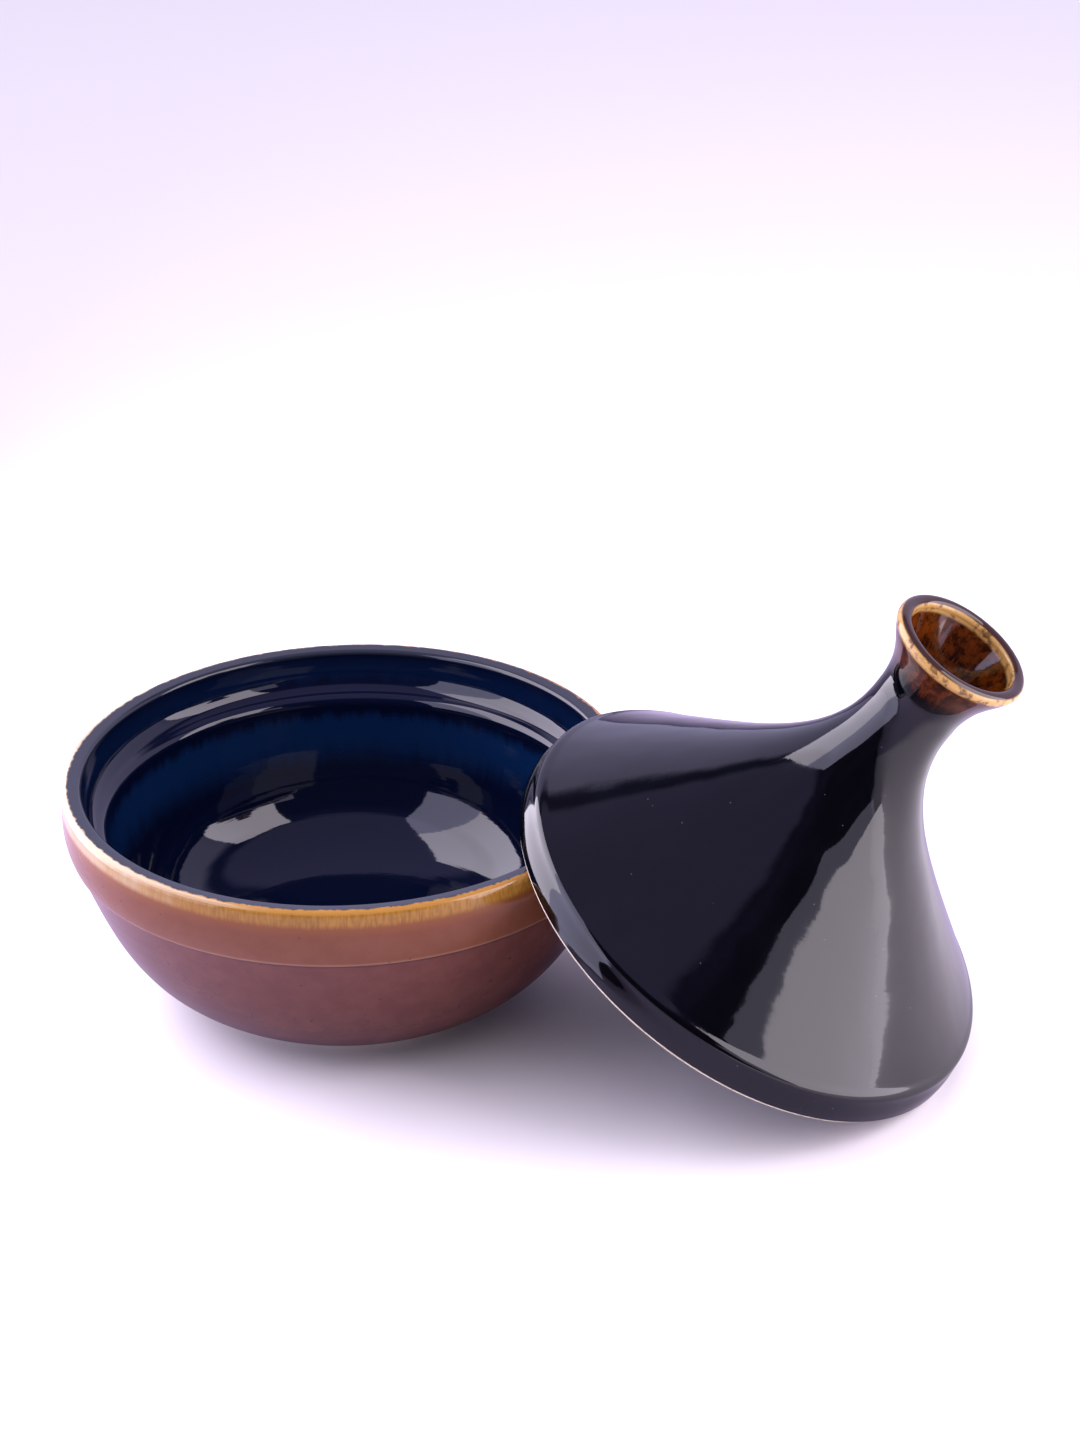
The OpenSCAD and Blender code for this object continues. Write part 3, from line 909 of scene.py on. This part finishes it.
def set_room():
    """The room that the glaze shows: a pale backdrop, dark behind the camera, dim overhead."""
    backdrop_azimuth = radians(-18)
    backdrop, behind_camera = (0.78, 0.73, 1.15), (0.03, 0.028, 0.05)
    above_backdrop, overhead = (0.06, 0.055, 0.13), (0.34, 0.31, 0.58)
    world = bpy.data.worlds.new("studio")
    world.use_nodes = True
    tree = world.node_tree
    direction = tree.nodes.new("ShaderNodeTexCoord").outputs["Generated"]
    part = node(tree, "ShaderNodeSeparateXYZ", Vector=direction).outputs
    depth = calc(tree, "ADD", calc(tree, "MULTIPLY", part["X"], sin(backdrop_azimuth)),
                 calc(tree, "MULTIPLY", part["Y"], cos(backdrop_azimuth)))
    walls = blend(tree, span(tree, depth, -0.45, 0.1), behind_camera, backdrop)
    room = blend(tree, span(tree, part["Z"], 0.66, 0.74), walls, above_backdrop)
    room = blend(tree, span(tree, part["Z"], 0.77, 0.82), room, overhead)
    tree.links.new(room, tree.nodes["Background"].inputs["Color"])
    bpy.context.scene.world = world


def place_camera(studio):
    a, e = studio.azimuth, studio.elevation
    back = Vector((sin(a) * cos(e), -cos(a) * cos(e), sin(e)))
    data = bpy.data.cameras.new("camera")
    data.lens = studio.lens
    data.sensor_width = 36.0
    data.sensor_fit = "AUTO"
    camera = bpy.data.objects.new("camera", data)
    facing = back.to_track_quat("Z", "Y").to_matrix() @ Matrix.Rotation(studio.roll, 3, "Z")
    place = Vector(studio.aim) + back * studio.distance
    camera.matrix_world = Matrix.Translation(place) @ facing.to_4x4()
    bpy.context.scene.collection.objects.link(camera)
    bpy.context.scene.camera = camera


class TAGINE_PT_panel(bpy.types.Panel):
    """Sizes and finishes of the tagine, and a button for each piece"""
    bl_idname = "TAGINE_PT_panel"
    bl_label = "Tagine"
    bl_space_type = "VIEW_3D"
    bl_region_type = "UI"
    bl_category = "Tagine"

    def draw(self, context):
        for operator in OPERATORS:
            self.layout.operator(operator.bl_idname)
        for name in GROUPS:
            settings = getattr(context.scene, name)
            box = self.layout.box()
            for key in settings.bl_rna.properties.keys():
                if key not in ("rna_type", "name"):
                    box.prop(settings, key)


OPERATORS = (TAGINE_OT_bowl, TAGINE_OT_lid, TAGINE_OT_studio)
GROUPS = {"tagine_bowl": BowlSizes, "tagine_lid": LidSizes, "tagine_glaze": GlazeSizes,
          "tagine_marks": ThrowingMarks, "tagine_finishes": Finishes,
          "tagine_studio": StudioSettings}


def register():
    for cls in (*GROUPS.values(), *OPERATORS, TAGINE_PT_panel):
        bpy.utils.register_class(cls)
    for name, group in GROUPS.items():
        setattr(bpy.types.Scene, name, PointerProperty(type=group))


def unregister():
    for name in GROUPS:
        delattr(bpy.types.Scene, name)
    for cls in reversed((*GROUPS.values(), *OPERATORS, TAGINE_PT_panel)):
        bpy.utils.unregister_class(cls)


def main():
    register()
    bpy.ops.tagine.bowl()
    bpy.ops.tagine.lid()
    bpy.ops.tagine.studio()


if __name__ == "__main__":
    main()
